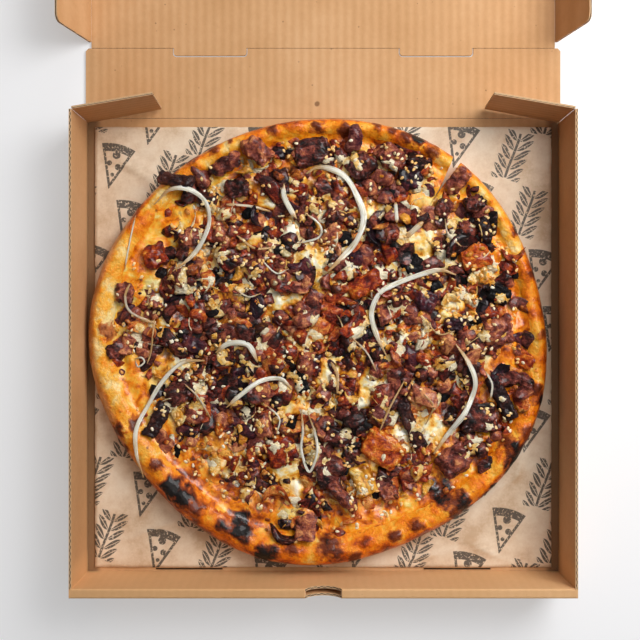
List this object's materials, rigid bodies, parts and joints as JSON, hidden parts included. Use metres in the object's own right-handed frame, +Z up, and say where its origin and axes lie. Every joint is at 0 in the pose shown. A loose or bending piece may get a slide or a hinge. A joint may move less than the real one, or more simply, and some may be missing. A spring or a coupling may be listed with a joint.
{
  "type": "pizza in an open takeaway box",
  "caption": "Open corrugated takeaway box, its lid folded back flat, holding a round pizza topped with chopped meat, onion and sesame on a paper liner.",
  "frame": {"origin": "middle of the tray floor's underside, between the side walls and between the front wall's outer face and the back wall's crease", "axes": "+Z up, +X along the hinge creases, +Y from the tray's front wall towards the lid"},
  "size_m": [0.331, 0.6569, 0.047],
  "materials": {
    "kraft_board": "brown kraft paper over corrugated board, matt",
    "greaseproof_paper": "tan greaseproof paper, slightly wrinkled",
    "baked_crust": "golden baked dough with browned and burnt blisters",
    "chopped_topping": "melted cheese under chopped browned meat and sesame seeds, glossy with oil",
    "roast_meat": "dark roast meat, glossy with fat",
    "charred_meat": "black charred meat, matt",
    "white_onion": "translucent shredded onion",
    "red_onion": "roast red onion, dark purple",
    "cooked_onion": "browned onion layers, glossy",
    "roast_pepper": "roast red pepper, glossy"
  },
  "bodies": {
    "tray": {"tray": "kraft_board", "paper_liner": "greaseproof_paper", "pizza_crust": "baked_crust", "chopped_topping": "chopped_topping", "charred_chunk_01": "charred_meat", "charred_chunk_02": "charred_meat", "charred_chunk_03": "charred_meat", "meat_chunk_01": "roast_meat", "meat_chunk_02": "roast_meat", "meat_chunk_03": "roast_meat", "meat_chunk_04": "roast_meat", "meat_chunk_05": "roast_meat", "meat_chunk_06": "roast_meat", "meat_chunk_07": "roast_meat", "meat_chunk_08": "roast_meat", "meat_chunk_09": "roast_meat", "meat_chunk_10": "roast_meat", "meat_chunk_11": "roast_meat", "meat_chunk_12": "roast_meat", "meat_chunk_13": "roast_meat", "meat_chunk_14": "roast_meat", "meat_chunk_15": "roast_meat", "meat_chunk_16": "roast_meat", "meat_chunk_17": "roast_meat", "meat_chunk_18": "roast_meat", "meat_strip_01": "roast_meat", "meat_strip_02": "roast_meat", "meat_strip_03": "roast_meat", "meat_strip_04": "roast_meat", "meat_strip_05": "roast_meat", "onion_curl_01": "white_onion", "onion_curl_02": "white_onion", "onion_curl_03": "white_onion", "onion_curl_04": "white_onion", "onion_curl_05": "white_onion", "onion_curl_06": "white_onion", "onion_curl_07": "white_onion", "onion_curl_08": "white_onion", "onion_curl_09": "white_onion", "red_onion_01": "red_onion", "red_onion_02": "red_onion", "red_onion_03": "red_onion", "red_onion_04": "red_onion", "red_onion_05": "red_onion", "roast_pepper_01": "roast_pepper", "roast_pepper_02": "roast_pepper", "roast_pepper_03": "roast_pepper", "roast_pepper_04": "roast_pepper", "roast_pepper_05": "roast_pepper", "onion_wedge_01": "cooked_onion"},
    "back_wall": {"back_wall": "kraft_board"},
    "lid": {"lid_panel": "kraft_board"},
    "lid_flap_left": {"lid_flap_left": "kraft_board"},
    "lid_flap_right": {"lid_flap_right": "kraft_board"},
    "lid_front_flap": {"lid_front_flap": "kraft_board"},
    "corner_flap_left": {"corner_flap_left": "kraft_board"},
    "corner_flap_right": {"corner_flap_right": "kraft_board"}
  },
  "joints": [
    {"name": "back_wall_fold", "type": "hinge", "parent": "tray", "child": "back_wall", "pos_m": [0, 0.1515, 0.0016], "axis": [1, 0, 0], "range_deg": [0, 90]},
    {"name": "lid_fold", "type": "hinge", "parent": "back_wall", "child": "lid", "pos_m": [0, 0.1975, 0.0016], "axis": [1, 0, 0], "range_deg": [0, 90]},
    {"name": "flap_left_fold", "type": "hinge", "parent": "lid", "child": "lid_flap_left", "pos_m": [-0.1521, 0.345, 0.0016], "axis": [0, 1, 0], "range_deg": [-74, 16]},
    {"name": "flap_right_fold", "type": "hinge", "parent": "lid", "child": "lid_flap_right", "pos_m": [0.1521, 0.345, 0.0016], "axis": [0, -1, 0], "range_deg": [-74, 16]},
    {"name": "front_flap_fold", "type": "hinge", "parent": "lid", "child": "lid_front_flap", "pos_m": [0, 0.492, 0.0016], "axis": [1, 0, 0], "range_deg": [-74, 16]},
    {"name": "corner_left_fold", "type": "hinge", "parent": "tray", "child": "corner_flap_left", "pos_m": [-0.1542, 0.1483, 0.0024], "axis": [0, 0, 1], "range_deg": [-9.9, 0]},
    {"name": "corner_right_fold", "type": "hinge", "parent": "tray", "child": "corner_flap_right", "pos_m": [0.1542, 0.1483, 0.0024], "axis": [0, 0, 1], "range_deg": [0, 9.9]}
  ],
  "couplings": [
    {"joint": "corner_left_fold", "follows": "back_wall_fold", "ratio": -0.11},
    {"joint": "corner_right_fold", "follows": "back_wall_fold", "ratio": 0.11}
  ]
}
